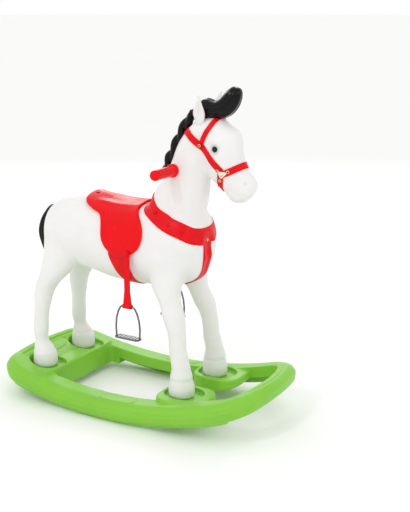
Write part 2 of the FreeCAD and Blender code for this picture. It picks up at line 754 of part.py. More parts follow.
def mane_braid(*taken):
    """Braid down the crest: one solid that swells at each lobe."""
    sections = []
    for (x0, z0), (x1, z1) in zip(mane_line, mane_line[1:]):
        slope = math.atan2(z1 - z0, x1 - x0) + math.pi / 2.0
        along = V(math.cos(slope), 0, math.sin(slope))
        sections.append((V(x0, 0, z0), along, mane_waist * mane_lobe[0], mane_waist * mane_lobe[1]))
        sections.append((V((x0 + x1) / 2.0, 0, (z0 + z1) / 2.0), along, mane_lobe[0], mane_lobe[1]))
    sections = rounded_end(rounded_end(sections, mane_cap_top, True), mane_cap_foot, False)
    piece = loft(sections, 2.0, 1.5)
    for other in taken:
        piece = piece.cut(other)
    return piece


def ear(side, *taken):
    sections = []
    for x, z, y, half_length, half_width in ear_sections:
        sections.append((V(x, side * y, z), V(1, 0, 0), half_length, half_width))
    piece = loft(sections)
    for other in taken:
        piece = piece.cut(other)
    return piece


def breast_stud(over):
    """Rivet on the middle of the chest, where the two straps meet."""
    probe = cylinder(probe_radius, 2.0 * side_reach, V(0, 0, breast_rivet_z), V(1, 0, 0))
    x = max(v.X for v in over.common(probe).Vertexes)
    start = V(x - rivet_root, 0, breast_rivet_z)
    body = cylinder(rivet_radius, rivet_height + rivet_root, start, V(1, 0, 0))
    rim = [e for e in body.Edges if abs(e.BoundBox.XMin - x - rivet_height) < 0.01]
    return body.makeFillet(rivet_dome, rim).cut(over)


def bridle_links(outer, *taken):
    """Flat three-cornered links that join the bridle straps on each cheek."""
    middle_x = sum(x for x, z in link_corners) / 3.0
    middle_z = sum(z for x, z in link_corners) / 3.0
    inside = [(middle_x + link_hole * (x - middle_x), middle_z + link_hole * (z - middle_z)) for x, z in link_corners]
    region = straight_outline(link_corners).cut(straight_outline(inside))
    return strap_on(outer, region, *taken)


def main_solid(shape):
    """The largest solid of a shape, without the slivers that a cut can leave."""
    return max(shape.Solids, key=lambda solid: solid.Volume)


def export(name, shape):
    shape.exportStep("parts/" + name + ".step")
    print(name, len(shape.Solids), round(shape.Volume / 1000.0, 2), shape.isValid(), flush=True)


def main():
    os.makedirs("parts", exist_ok=True)
    sides = {"right": -1, "left": 1}
    bare = seat_body(0.0)
    bare_head = bridle_body(0.0)
    strapped = seat_body(strap_thick)
    strapped_head = bridle_body(strap_thick)
    body = horse_body()

    collar = strap_on(strapped, smooth_outline(collar_outline), bare)
    export("breast_collar", collar)
    legs = [leg_body(fore_leg, fore_x, side) for side in (-1, 1)]
    chest_box = Part.makeBox(
        side_reach, 2.0 * chest_strap_half, side_reach,
        V(chest_strap_foot, -chest_strap_half, chest_strap_top - side_reach))
    export("chest_strap", strap_on(strapped, chest_box, bare, collar, *legs))
    girth = strap_on(strapped, straight_outline(girth_outline), bare, *legs)
    saddle = strap_on(seat_body(seat_thick), smooth_outline(saddle_outline), bare, girth, collar)

    seat_top = upper_line(saddle_screw_x, saddle)
    start = V(saddle_screw_x, 0, seat_top - screw_length)
    shank = cylinder(screw_shank / 2.0, screw_length, start, V(0, 0, 1))
    head_start = V(saddle_screw_x, 0, seat_top - screw_sunk)
    head_seat = cylinder(screw_head / 2.0, screw_length, head_start, V(0, 0, 1))
    screw = shank.fuse(cylinder(screw_head / 2.0, screw_head_height, head_start, V(0, 0, 1)))
    saddle = saddle.cut(head_seat).cut(shank)
    body = body.cut(shank)
    export("saddle_screw", screw)

    for name, side in sides.items():
        pin = pivot(side, bare)
        saddle = saddle.cut(pin)
        girth = girth.cut(pin)
        body = body.cut(pin)
        export(name + "_stirrup_pivot", pin)
        export(name + "_stirrup_strap", stirrup_leather(side))
        export(name + "_stirrup", stirrup(side))
        export(name + "_grip", grip(side))
    export("girth_strap", girth)
    export("saddle", saddle)
    export("handle_bar", handle_bar())

    crown = strap_on(strapped_head, band(crown_line, bridle_width), bare_head)
    brow = main_solid(strap_on(strapped_head, band(brow_line, brow_width), bare_head, crown))
    cheek = strap_on(strapped_head, band(cheek_line, bridle_width), bare_head, crown, brow)
    nose = strap_on(strapped_head, band(nose_line, bridle_width), bare_head, cheek)
    chin = strap_on(strapped_head, band(chin_line, bridle_width), bare_head, cheek, nose)
    linked_head = bridle_body(strap_thick + link_thick)
    links = bridle_links(linked_head, strapped_head)
    ears = {name: ear(side, body, crown, brow) for name, side in sides.items()}
    export("crown_strap", crown)
    export("brow_band", brow)
    export("cheek_straps", cheek)
    export("nose_band", nose)
    export("chin_strap", chin)
    export("bridle_links", links)
    for name in sides:
        export(name + "_ear", ears[name])
    quiff = trim(forelock, forelock_cap, body, crown, brow, ears["right"], ears["left"])
    export("forelock", quiff)
    export("mane_braid", mane_braid(body, crown, collar, quiff, ears["right"], ears["left"], handle_bar()))
    export("tail", trim(tail, tail_cap, body))

    studs = []
    for side in (-1, 1):
        for x, z in bridle_rivets:
            studs.append(stud(linked_head, x, z, side))
    export("bridle_rivets", Part.Compound(studs))
    studs = [breast_stud(strapped)]
    for side in (-1, 1):
        for x, z in collar_rivets:
            studs.append(stud(strapped, x, z, side))
    export("collar_rivets", Part.Compound(studs))
    for name, side in sides.items():
        x, z = eye_centre
        y = side_face(bare_head, x, z, side)
        ball = Part.makeSphere(eye_radius, V(x, side * (y - eye_depth), z))
        export(name + "_eye", ball.cut(body))

    export("horse_body", body)
    export("rocker_base", rocker_base())
    export("hoof_washers", hoof_washers())
    export("hoof_bolts", hoof_bolts())


main()
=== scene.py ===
import math
import bmesh
import bpy
import numpy as np
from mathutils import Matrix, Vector
from mathutils.kdtree import KDTree


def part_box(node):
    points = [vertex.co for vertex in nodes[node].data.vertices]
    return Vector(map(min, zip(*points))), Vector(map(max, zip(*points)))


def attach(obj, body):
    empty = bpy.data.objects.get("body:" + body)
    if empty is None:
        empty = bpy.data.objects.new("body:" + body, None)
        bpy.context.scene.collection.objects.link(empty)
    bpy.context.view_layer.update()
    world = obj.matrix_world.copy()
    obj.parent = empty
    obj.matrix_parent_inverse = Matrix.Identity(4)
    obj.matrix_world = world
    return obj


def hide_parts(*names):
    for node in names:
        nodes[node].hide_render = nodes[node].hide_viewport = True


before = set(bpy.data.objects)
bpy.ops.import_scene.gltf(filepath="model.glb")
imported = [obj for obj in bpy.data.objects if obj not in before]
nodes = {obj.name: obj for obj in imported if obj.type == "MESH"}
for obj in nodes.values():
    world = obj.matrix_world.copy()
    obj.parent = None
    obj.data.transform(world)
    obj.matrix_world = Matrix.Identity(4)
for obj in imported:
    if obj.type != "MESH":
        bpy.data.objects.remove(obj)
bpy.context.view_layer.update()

# A moulded plastic rocking horse. Places are in metres, with +X forward and +Z up.
# Millimetres: names that end in Mm, voxels, the depths and heights of lines and forms, and the sizes of the
# eyelets and the braid.
mm = 0.001
sides = (("right", -1), ("left", 1))  # the rider's own sides, with the sign of Y


# colours and shader nodes

def linear(hexColour):  # sRGB hex to linear light
    parts = [int(hexColour[i:i + 2], 16) / 255 for i in (1, 3, 5)]
    return [p / 12.92 if p <= 0.04045 else ((p + 0.055) / 1.055) ** 2.4 for p in parts] + [1.0]


def addNode(tree, kind, inputs=None, give=0, **fields):  # returns one output, or the node for give=None
    node = tree.nodes.new(kind)
    for name, value in fields.items():
        setattr(node, name, value)
    for name, value in (inputs or {}).items():
        if isinstance(value, bpy.types.NodeSocket):
            tree.links.new(value, node.inputs[name])
        else:
            node.inputs[name].default_value = value
    return node if give is None else node.outputs[give]


mixColours = {"a": 6, "b": 7, "result": 2}  # the colour sockets of a Mix node
mottleSpan = (0.25, 0.7)  # the part of a noise's range over which the mottle turns dark
wearSpan = (0.3, 0.75)  # the same for handled to dull


def material(name, look, paint=None):
    mat = bpy.data.materials.new(name)
    mat.use_nodes = True
    tree = mat.node_tree
    tree.nodes.clear()
    place = addNode(tree, "ShaderNodeTexCoord", give="Object")
    if "stretch" in look:  # draws the patterns out along the hair
        place = addNode(tree, "ShaderNodeMapping", {
            "Vector": place, "Rotation": look.get("turn", (0, 0, 0)), "Scale": look["stretch"]})
    noise = {}
    for key, detail, rough in (("mottleMm", 3.0, 0.5), ("wearMm", 4.0, 0.6), ("grainMm", 2.0, 0.5)):
        noise[key] = addNode(tree, "ShaderNodeTexNoise", {
            "Vector": place, "Scale": 1000.0 / look[key], "Detail": detail, "Roughness": rough}, "Fac")
    full = linear(look["colour"])
    darker = [c * look["dark"] for c in full[:3]] + [1.0]
    share = addNode(tree, "ShaderNodeMapRange", {
        "Value": noise["mottleMm"], "From Min": mottleSpan[0], "From Max": mottleSpan[1],
        "To Min": 1.0, "To Max": 0.0}, interpolation_type="SMOOTHSTEP")
    colour = addNode(tree, "ShaderNodeMix", {"Factor": share, mixColours["a"]: full, mixColours["b"]: darker},
                     mixColours["result"], data_type="RGBA")
    roughness = addNode(tree, "ShaderNodeMapRange", {
        "Value": noise["wearMm"], "From Min": wearSpan[0], "From Max": wearSpan[1],
        "To Min": look["rough"][0], "To Max": look["rough"][1]})
    if paint:
        colour = paint(tree, place, colour)
    height = addNode(tree, "ShaderNodeMath", {0: noise["grainMm"], 1: look["grain"]}, operation="MULTIPLY")
    bump = addNode(tree, "ShaderNodeBump", {"Height": height, "Strength": 1.0, "Distance": mm})
    shader = addNode(tree, "ShaderNodeBsdfPrincipled", {
        "Base Color": colour, "Roughness": roughness, "Normal": bump, "Metallic": look.get("metal", 0.0),
        "Specular IOR Level": look.get("gloss", 0.5),
        "Subsurface Weight": look.get("glow", 0.0), "Subsurface Scale": look.get("glowMm", 2.0) * mm})
    addNode(tree, "ShaderNodeOutputMaterial", {"Surface": shader}, None)
    return mat


# Materials. dark is the shade of the mottle's darker patches, rough runs from handled to dull places, grain
# is the height of the fine skin in mm, and glow is light that goes a little way into the plastic. Mould skin
# is really 0.1 to 0.5 mm fine; it is drawn 1 to 3 mm coarse so that it shows.

horseLook = {  # thick rotomoulded polyethylene: milky white, satin, soft edges where light goes in
    "colour": "#E9E8E6", "gloss": 0.4, "dark": 0.965, "mottleMm": 60, "wearMm": 25, "rough": (0.34, 0.46),
    "grainMm": 2.6, "grain": 0.05, "glow": 0.12, "glowMm": 4.0}
eyePlace = (0.216, 0.041, 0.682)
paintedShadeGrey = linear("#A9A8A3")
paintedShadeSpots = [  # painted shade in the eye sockets and nostrils: where the grey is, how far it is full and where it ends, and how strong it is
    {"place": eyePlace, "reach": (0.0065, 0.017), "share": 0.6},
    {"place": (0.289, 0.022, 0.604), "reach": (0.001, 0.007), "share": 0.18}]


def horseShadePaint(tree, place, colour):  # painted shade: soft grey round both eye sockets and inside both nostrils, darkening these hollows
    split = addNode(tree, "ShaderNodeSeparateXYZ", {0: place}, None)
    width = addNode(tree, "ShaderNodeMath", {0: split.outputs[1]}, operation="ABSOLUTE")
    folded = addNode(tree, "ShaderNodeCombineXYZ", {"X": split.outputs[0], "Y": width, "Z": split.outputs[2]})
    for spot in paintedShadeSpots:
        away = addNode(tree, "ShaderNodeVectorMath", {0: folded, 1: spot["place"]}, "Value",
                       operation="DISTANCE")
        share = addNode(tree, "ShaderNodeMapRange", {
            "Value": away, "From Min": spot["reach"][0], "From Max": spot["reach"][1],
            "To Min": spot["share"], "To Max": 0.0}, interpolation_type="SMOOTHSTEP")
        colour = addNode(tree, "ShaderNodeMix", {
            "Factor": share, mixColours["a"]: colour, mixColours["b"]: paintedShadeGrey},
            mixColours["result"], data_type="RGBA")
    return colour


# the white plastic, with painted shade in the eye sockets and nostrils
horseWhite = material("rotomoulded white polyethylene", horseLook, horseShadePaint)
baseGreen = material("blow moulded lime polyethylene", {  # waxy lime green with broad soft reflections
    "colour": "#83C639", "gloss": 0.32, "dark": 0.93, "mottleMm": 90, "wearMm": 30, "rough": (0.30, 0.45),
    "grainMm": 3.2, "grain": 0.05, "glow": 0.06, "glowMm": 3.0})
strapRed = material("red vinyl strap", {  # calendered vinyl: deep red with a faint sheen and a fine pebble
    "colour": "#E30A17", "gloss": 0.14, "dark": 0.88, "mottleMm": 22, "wearMm": 9, "rough": (0.30, 0.44),
    "grainMm": 0.9, "grain": 0.03})
seatRed = material("red saddle plastic", {  # moulded polypropylene: smooth, polished pale by sitting
    "colour": "#E60812", "gloss": 0.15, "dark": 0.94, "mottleMm": 40, "wearMm": 18, "rough": (0.20, 0.30),
    "grainMm": 1.6, "grain": 0.02})
gripRed = material("red grip plastic", {  # moulded in a polished mould: clear glossy red
    "colour": "#EC0A12", "gloss": 0.12, "dark": 0.9, "mottleMm": 16, "wearMm": 8, "rough": (0.16, 0.26),
    "grainMm": 0.8, "grain": 0.015})
hairLook = {  # glossy black moulding; strands 1 to 2 mm wide, drawn as a 3 mm grain stretched along the hair
    "colour": "#090708", "gloss": 0.2, "dark": 0.7, "mottleMm": 14, "wearMm": 8, "rough": (0.12, 0.22),
    "grainMm": 3.0, "grain": 0.10}
maneBlack = material("black moulded mane", dict(
    hairLook, turn=(0, math.radians(-30), 0), stretch=(1.0, 1.0, 0.16)))
quiffBlack = material("black moulded forelock", dict(
    hairLook, turn=(0, math.radians(-20), 0), stretch=(0.14, 1.0, 1.0), grain=0.06, mottleMm=20))
tailBlack = material("black moulded tail", dict(hairLook, stretch=(1.0, 1.0, 0.14)))
rivetBrass = material("polished brass", {  # stamped and tumbled: warm yellow with small sharp glints
    "colour": "#EFC68A", "dark": 0.8, "mottleMm": 3, "wearMm": 2, "rough": (0.16, 0.34),
    "grainMm": 0.5, "grain": 0.02, "metal": 1.0})
stirrupChrome = material("chromed steel", {  # thin plating on wire: dark mirror with bright edges
    "colour": "#77777B", "dark": 0.6, "mottleMm": 12, "wearMm": 5, "rough": (0.10, 0.22),
    "grainMm": 1.5, "grain": 0.02, "metal": 1.0})
zincSteel = material("zinc plated steel", {  # dull grey with a slight spangle
    "colour": "#8E8D8A", "dark": 0.8, "mottleMm": 5, "wearMm": 3, "rough": (0.28, 0.45),
    "grainMm": 0.8, "grain": 0.03, "metal": 1.0})
screwSteelRedReflection = material("blackened screw steel with painted red reflection", {  # oxide black steel that mirrors what is round it; the red in its colour is a painted reflection of the red round it
    "colour": "#4A2226", "dark": 0.7, "mottleMm": 4, "wearMm": 2, "rough": (0.3, 0.45),
    "grainMm": 0.6, "grain": 0.03, "metal": 0.6})
linkIvory = material("ivory nylon", {  # moulded nylon: warm, a little see-in
    "colour": "#F4EAE0", "gloss": 0.3, "dark": 0.94, "mottleMm": 5, "wearMm": 4, "rough": (0.3, 0.42),
    "grainMm": 0.7, "grain": 0.03, "glow": 0.1, "glowMm": 1.0})
eyeBlack = material("black glass eye", {  # fire-polished glass: near mirror
    "colour": "#060506", "gloss": 0.35, "dark": 0.6, "mottleMm": 4, "wearMm": 3, "rough": (0.05, 0.10),
    "grainMm": 2.0, "grain": 0.004})
holeDark = material("eyelet shadow", {  # the unlit bore of an eyelet
    "colour": "#2A1C14", "dark": 0.7, "mottleMm": 2, "wearMm": 2, "rough": (0.6, 0.8),
    "grainMm": 0.5, "grain": 0.02})
print("materials done")


# mesh helpers

def coordinates(mesh):
    values = np.empty(len(mesh.vertices) * 3, np.float32)
    mesh.vertices.foreach_get("co", values)
    return values.reshape(-1, 3).astype(np.float64)


def setCoordinates(mesh, points):
    mesh.vertices.foreach_set("co", points.astype(np.float32).ravel())
    mesh.update()


def normals(mesh):
    values = np.empty(len(mesh.vertices) * 3, np.float32)
    mesh.vertex_normals.foreach_get("vector", values)
    return values.reshape(-1, 3).astype(np.float64)


def relax(mesh, weight, passes, pull=0.6):  # evens the surface where weight is above 0
    pairs = np.empty(len(mesh.edges) * 2, np.int32)
    mesh.edges.foreach_get("vertices", pairs)
    a, b = pairs.reshape(-1, 2).T
    count = len(mesh.vertices)
    degree = np.bincount(np.concatenate([a, b]), minlength=count)[:, None]
    points = coordinates(mesh)
    for _ in range(passes):
        total = np.zeros_like(points)
        for axis in range(3):
            total[:, axis] = (np.bincount(a, points[b, axis], count) + np.bincount(b, points[a, axis], count))
        points += (total / degree - points) * weight[:, None] * pull
    setCoordinates(mesh, points)


def relaxAll(mesh, passes):
    relax(mesh, np.ones(len(mesh.vertices)), passes)


def remesh(piece, voxelMm, passes):  # one even skin of small quads
    skin = piece.modifiers.new("skin", "REMESH")
    skin.mode = "VOXEL"
    skin.voxel_size = voxelMm * mm
    mesh = bpy.data.meshes.new_from_object(piece.evaluated_get(bpy.context.evaluated_depsgraph_get()))
    piece.modifiers.clear()
    piece.data = mesh
    relaxAll(mesh, passes)


def finishPiece(piece, body, mat):
    piece.data.materials.clear()
    piece.data.materials.append(mat)
    piece.data.polygons.foreach_set("use_smooth", [True] * len(piece.data.polygons))
    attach(piece, body)


def newPiece(name, work):  # turns bmesh work into an object
    mesh = bpy.data.meshes.new(name)
    work.to_mesh(mesh)
    work.free()
    piece = bpy.data.objects.new(name, mesh)
    bpy.context.scene.collection.objects.link(piece)
    return piece


def moulded(name, node, mat, voxelMm, passes=2, body="horse"):  # a node's own solid with every edge softened
    work = bmesh.new()
    work.from_mesh(nodes[node].data)
    bmesh.ops.remove_doubles(work, verts=work.verts, dist=1e-6)
    piece = newPiece(name, work)
    remesh(piece, voxelMm, passes)
    finishPiece(piece, body, mat)
    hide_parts(node)
    return piece


def addMesh(work, extra, name):  # joins one bmesh into another
    part = bpy.data.meshes.new(name)
    extra.to_mesh(part)
    extra.free()
    work.from_mesh(part)
    bpy.data.meshes.remove(part)


def folded(points):  # both sides of the piece laid over its left side
    return np.abs(points) * [0, 1, 0] + points * [1, 0, 1]


def ridge(distance, halfWidth):  # 1 on a line, fading to both sides of it
    return np.exp(-(distance / halfWidth) ** 2)


bellFall = 1.6  # leaves a fifth of the height at the radius


def bell(points, centre, radius):  # soft falloff round a point; radius is one number or one for each axis
    away = (points - np.array(centre)) / np.array(radius)
    return np.exp(-(away ** 2).sum(1) * bellFall)


def distanceToLine(points, line, weight=1.0):  # nearest distance to a line of straight steps
    closest = np.full(len(points), 1.0)
    for start, end in zip(line, line[1:]):
        a, b = np.array(start), np.array(end)
        t = np.clip(((points - a) @ (b - a)) / ((b - a) @ (b - a)), 0, 1)
        closest = np.minimum(closest, np.linalg.norm((points - a - t[:, None] * (b - a)) * weight, axis=1))
    return closest


def bridge(work, low, high):  # quads between two rings
    for i in range(len(low)):
        work.faces.new((low[i], low[(i + 1) % len(low)], high[(i + 1) % len(low)], high[i]))


def lathe(profile, steps):  # closed turned shape about +Z from (radius, height) rows
    work = bmesh.new()
    turns = [2 * math.pi * i / steps for i in range(steps)]
    rings = [[work.verts.new((radius * math.cos(a), radius * math.sin(a), height)) for a in turns]
             for radius, height in profile]
    for low, high in zip(rings, rings[1:]):
        bridge(work, low, high)
    work.faces.new(rings[0][::-1])
    work.faces.new(rings[-1])
    return work


# horse: one smooth moulding

horseSettings = {
    "voxel": 2.7,
    # joins that are evened out: centre, radius, how much
    "seams": [((-0.235, 0.070, 0.372), (0.085, 0.075, 0.075), 1.0),  # thigh to belly
              ((0.100, 0.070, 0.370), (0.075, 0.075, 0.085), 1.0),  # forearm to breast
              ((-0.235, 0.0, 0.345), (0.085, 0.05, 0.05), 1.0),  # between the hind legs
              ((0.095, 0.0, 0.345), (0.075, 0.05, 0.05), 1.0),  # between the forelegs
              ((0.105, 0.0, 0.505), (0.110, 0.095, 0.060), 0.9),  # root of the neck
              ((0.185, 0.0, 0.635), (0.050, 0.050, 0.060), 0.8),  # throat
              ((0.170, 0.0, 0.745), (0.045, 0.045, 0.030), 0.8)],  # poll
    "seamPasses": 45, "seamBase": 0.02, "seamGain": 1.6,
    # swellings and hollows, the same on both sides: centre, radius, height in mm
    "forms": [((0.252, 0.0, 0.716), (0.016, 0.030, 0.012), 2.6),  # forehead
              ((0.236, 0.0, 0.742), (0.018, 0.030, 0.016), -1.6),  # under the forelock
              ((0.172, 0.042, 0.628), (0.009, 0.030, 0.024), -2.6),  # behind the jaw
              ((0.216, 0.043, 0.682), 0.0135, -2.6),  # eye socket
              ((0.211, 0.040, 0.700), (0.016, 0.014, 0.009), 2.4),  # upper lid
              ((0.238, 0.036, 0.668), (0.022, 0.014, 0.014), 1.4),  # face bone
              ((0.203, 0.040, 0.640), (0.028, 0.014, 0.024), 1.8),  # cheek
              ((0.289, 0.023, 0.604), 0.0065, -3.2),  # nostril
              ((0.281, 0.026, 0.619), (0.014, 0.012, 0.009), 1.6),  # nostril's upper edge
              ((0.294, 0.018, 0.596), (0.012, 0.014, 0.008), 1.4),  # upper lip
              ((-0.255, 0.075, 0.335), (0.040, 0.030, 0.060), 2.0),  # thigh
              ((-0.309, 0.076, 0.262), (0.016, 0.020, 0.026), 3.6),  # point of the hock
              ((-0.262, 0.077, 0.240), (0.014, 0.022, 0.022), 1.6),  # front of the hock
              ((-0.300, 0.083, 0.158), (0.020, 0.026, 0.015), 2.6),  # hind fetlock
              ((0.136, 0.076, 0.268), (0.018, 0.024, 0.026), 3.2),  # knee
              ((0.158, 0.083, 0.172), (0.018, 0.026, 0.016), 2.8),  # front of the fore fetlock
              ((0.120, 0.083, 0.168), (0.014, 0.026, 0.014), 2.2),  # back of the fore fetlock
              ((0.070, 0.088, 0.360), (0.045, 0.030, 0.050), 1.8),  # elbow
              ((0.150, 0.045, 0.440), (0.030, 0.030, 0.050), 3.0),  # breast muscle
              ((0.170, 0.0, 0.400), (0.030, 0.014, 0.070), -2.6),  # furrow between the breast muscles
              ((-0.150, 0.090, 0.400), (0.060, 0.030, 0.060), -1.6),  # flank
              ((-0.300, 0.0, 0.420), (0.030, 0.110, 0.080), -6.0)],  # rump under the tail
    "mouth": [(0.252, 0.030, 0.583), (0.266, 0.030, 0.577), (0.281, 0.024, 0.575), (0.296, 0.010, 0.580)],
    "mouthHalf": 0.0032, "mouthDepth": 2.0, "mouthWrap": [1, 0.45, 1],
    # grooves round each leg: height, half width, depth in mm
    "rings": [(0.113, 0.0035, 1.1), (0.136, 0.010, 1.6)],  # coronet, pastern
    # the crest is drawn in under the braid, square to its line
    "crest": [(0.138, 0.764), (0.120, 0.735), (0.104, 0.708), (0.090, 0.681), (0.076, 0.654), (0.062, 0.631),
              (0.050, 0.611)],
    "crestReach": 0.036, "crestIn": 12.0, "crestWay": [0.87, 0, -0.49]}

horse = moulded("horseMoulding", "horse_body", horseWhite, horseSettings["voxel"])
bare = coordinates(horse.data)
seam = np.full(len(bare), horseSettings["seamBase"])
for centre, radius, amount in horseSettings["seams"]:
    seam = np.maximum(seam, bell(folded(bare), centre, radius) * amount)
relax(horse.data, np.clip(seam * horseSettings["seamGain"], 0, 1), horseSettings["seamPasses"])
points = coordinates(horse.data)
half = folded(points)
shift = np.zeros(len(points))
for centre, radius, amount in horseSettings["forms"]:
    shift += bell(half, centre, radius) * amount * mm
mouthAway = distanceToLine(half, horseSettings["mouth"], horseSettings["mouthWrap"])
shift -= ridge(mouthAway, horseSettings["mouthHalf"]) * horseSettings["mouthDepth"] * mm
for height, halfWidth, depth in horseSettings["rings"]:
    shift -= ridge(points[:, 2] - height, halfWidth) * depth * mm
points += normals(horse.data) * shift[:, None]
crestAway = distanceToLine(points[:, [0, 2]], horseSettings["crest"])
slim = np.exp(-bellFall * (crestAway / horseSettings["crestReach"]) ** 2) * horseSettings["crestIn"] * mm
points += slim[:, None] * np.array(horseSettings["crestWay"])
setCoordinates(horse.data, points)
moved = points - bare
horseNormals = normals(horse.data)
skinTree = KDTree(len(bare))
for i in range(0, len(bare), 2):  # every second point is near enough
    skinTree.insert(bare[i], i)
skinTree.balance()
print("horse done", len(bare))


def follow(piece):  # carries a strap along with the horse's evened surface
    place = coordinates(piece.data)
    for i, p in enumerate(place):
        near = skinTree.find_n(p, 3)
        place[i] = p + sum(moved[n[1]] for n in near) / 3
    setCoordinates(piece.data, place)


# ears: cupped in front, widest below the middle, with a narrow tip

earSettings = {
    "voxel": 0.9, "foot": (0.168, 0.026), "lean": (0.013, 0.029), "facing": (0.72, 0.69),
    "cup": {"depth": 7.0, "reach": 0.007, "half": 0.0055, "middle": 0.5, "tall": 0.30},
    "width": {"least": 0.86, "belly": 0.26, "bellyAt": 0.36, "bellyTall": 0.22, "tip": 0.25, "tipFrom": 0.75}}

for side, sign in sides:
    ear = moulded(side + "EarMoulding", side + "_ear", horseWhite, earSettings["voxel"], passes=3)
    place = coordinates(ear.data)
    low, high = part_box(side + "_ear")
    rise = np.clip((place[:, 2] - low.z) / (high.z - low.z), 0, 1)
    foot, lean = earSettings["foot"], earSettings["lean"]
    axis = np.column_stack([foot[0] + lean[0] * rise, sign * (foot[1] + lean[1] * rise), place[:, 2]])
    facing = np.array([earSettings["facing"][0], sign * earSettings["facing"][1], 0.0])
    across = np.array([-facing[1], facing[0], 0.0])
    cup = earSettings["cup"]
    front = np.clip(((place - axis) @ facing) / cup["reach"], 0, 1)
    hollow = ridge((place - axis) @ across, cup["half"]) * ridge(rise - cup["middle"], cup["tall"])
    place -= facing * (front * hollow * cup["depth"] * mm)[:, None]
    width = earSettings["width"]
    swell = width["least"] + width["belly"] * ridge(rise - width["bellyAt"], width["bellyTall"])
    swell -= width["tip"] * np.clip(rise - width["tipFrom"], 0, 1)
    place += across * (((place - axis) @ across) * (swell - 1))[:, None]
    setCoordinates(ear.data, place)
    relaxAll(ear.data, 2)
print("ears done")


# rocker base: moulded lines, a foot panel on each rail and a plain oval between the hind hooves

baseSettings = {
    "voxel": 1.9,
    "rollCentre": (-0.0395, 1.134),  # middle of the arc that the rails roll on, and its radius
    "panel": {"centre": (0.006, 0.157), "half": (0.052, 0.016), "round": 0.014, "height": 1.0, "step": 0.002,
              "groove": 0.8, "grooveHalf": 0.0022},
    "oval": {"centre": (-0.320, 0.0), "half": (0.024, 0.055), "depth": 1.6, "lineHalf": 0.0024},
    "frontLines": {"centre": 0.089, "radii": (0.263, 0.272), "reach": 0.118, "depth": 1.5, "behind": False},
    "rearLines": {"centre": 0.487, "radii": (0.829, 0.843), "reach": 0.115, "depth": 2.2, "behind": True},
    "arcHalf": 0.0026, "arcFade": 0.008,  # half width of the arc lines, and how they run out at their ends
    "sideLines": {"heights": (0.0235, 0.035), "depth": 1.3, "lineHalf": 0.0020}}


def arcLines(place, lines):  # grooves round a centre on the middle plane
    spread = np.hypot(place[:, 0] - lines["centre"], place[:, 1])
    onSide = (place[:, 0] < lines["centre"]) == lines["behind"]
    inReach = np.clip((lines["reach"] - np.abs(place[:, 1])) / baseSettings["arcFade"], 0, 1) * onSide
    rows = sum(ridge(spread - radius, baseSettings["arcHalf"]) for radius in lines["radii"])
    return rows * inReach * lines["depth"]


base = moulded("baseMoulding", "rocker_base", baseGreen, baseSettings["voxel"], passes=3)
place = coordinates(base.data)
out = normals(base.data)
facingUp = np.clip((out[:, 2] - 0.5) * 4, 0, 1)
shift = -(arcLines(place, baseSettings["frontLines"]) + arcLines(place, baseSettings["rearLines"])) * facingUp
panel = baseSettings["panel"]
corner = np.abs(np.column_stack([place[:, 0], np.abs(place[:, 1])]) - panel["centre"]) - panel["half"]
edge = np.linalg.norm(np.maximum(corner + panel["round"], 0), axis=1) - panel["round"]
raised = np.clip(-edge / panel["step"], 0, 1) * panel["height"]
shift += (raised - ridge(edge, panel["grooveHalf"]) * panel["groove"]) * facingUp
oval = baseSettings["oval"]
spread = np.linalg.norm((place[:, :2] - oval["centre"]) / oval["half"], axis=1)
shift -= ridge((spread - 1) * oval["half"][0], oval["lineHalf"]) * oval["depth"] * facingUp
rollX, rollRadius = baseSettings["rollCentre"]
aboveRoll = rollRadius - np.hypot(place[:, 0] - rollX, place[:, 2] - rollRadius)
facingOut = np.clip((0.75 - np.abs(out[:, 2])) * 4, 0, 1) * ((out[:, :2] * place[:, :2]).sum(1) > 0.05)
sideLines = baseSettings["sideLines"]
for height in sideLines["heights"]:
    shift -= ridge(aboveRoll - height, sideLines["lineHalf"]) * sideLines["depth"] * facingOut
setCoordinates(base.data, place + out * (shift * mm)[:, None])
print("base done", len(place))


# saddle: a raised rim (distance from the middle, half width, height) round a dished seat (half width, depth)

saddleSettings = {"voxel": 1.5, "rear": -0.135, "rearBlend": 0.03, "front": 0.0, "frontBlend": 0.04,
                  "rim": (0.040, 0.009, 2.4), "dish": (0.024, 2.2)}

saddle = moulded("saddleMoulding", "saddle", seatRed, saddleSettings["voxel"], passes=3)
place = coordinates(saddle.data)
out = normals(saddle.data)
width = np.abs(place[:, 1])
along = np.clip((place[:, 0] - saddleSettings["rear"]) / saddleSettings["rearBlend"], 0, 1)
along *= np.clip((saddleSettings["front"] - place[:, 0]) / saddleSettings["frontBlend"], 0, 1)
rimAt, rimHalf, rimHeight = saddleSettings["rim"]
dishHalf, dishDepth = saddleSettings["dish"]
shift = ridge(width - rimAt, rimHalf) * rimHeight - np.exp(-(width / dishHalf) ** 4) * dishDepth
top = np.clip(out[:, 2] * 1.5, 0, 1) * along
setCoordinates(saddle.data, place + out * (shift * top * mm)[:, None])
follow(saddle)
relaxAll(saddle.data, 2)
print("saddle done")


# harness straps

strapSettings = {
    "voxels": {"breast_collar": 1.0, "chest_strap": 0.9, "girth_strap": 1.0, "crown_strap": 0.8,
               "brow_band": 0.8, "cheek_straps": 0.8, "nose_band": 0.8, "chin_strap": 0.8},
    "chestWiden": 1.2}

for node, voxel in strapSettings["voxels"].items():
    first, *rest = node.split("_")
    strap = moulded(first + "".join(word.title() for word in rest) + "Vinyl", node, strapRed, voxel)
    if node == "chest_strap":
        setCoordinates(strap.data, coordinates(strap.data) * [1.0, strapSettings["chestWiden"], 1.0])
    follow(strap)


# triangular links: each ring drawn in and filled with a thin web

linkSettings = {"voxel": 0.5, "size": 0.66, "web": 0.62, "webLift": 0.9, "webStep": 7}

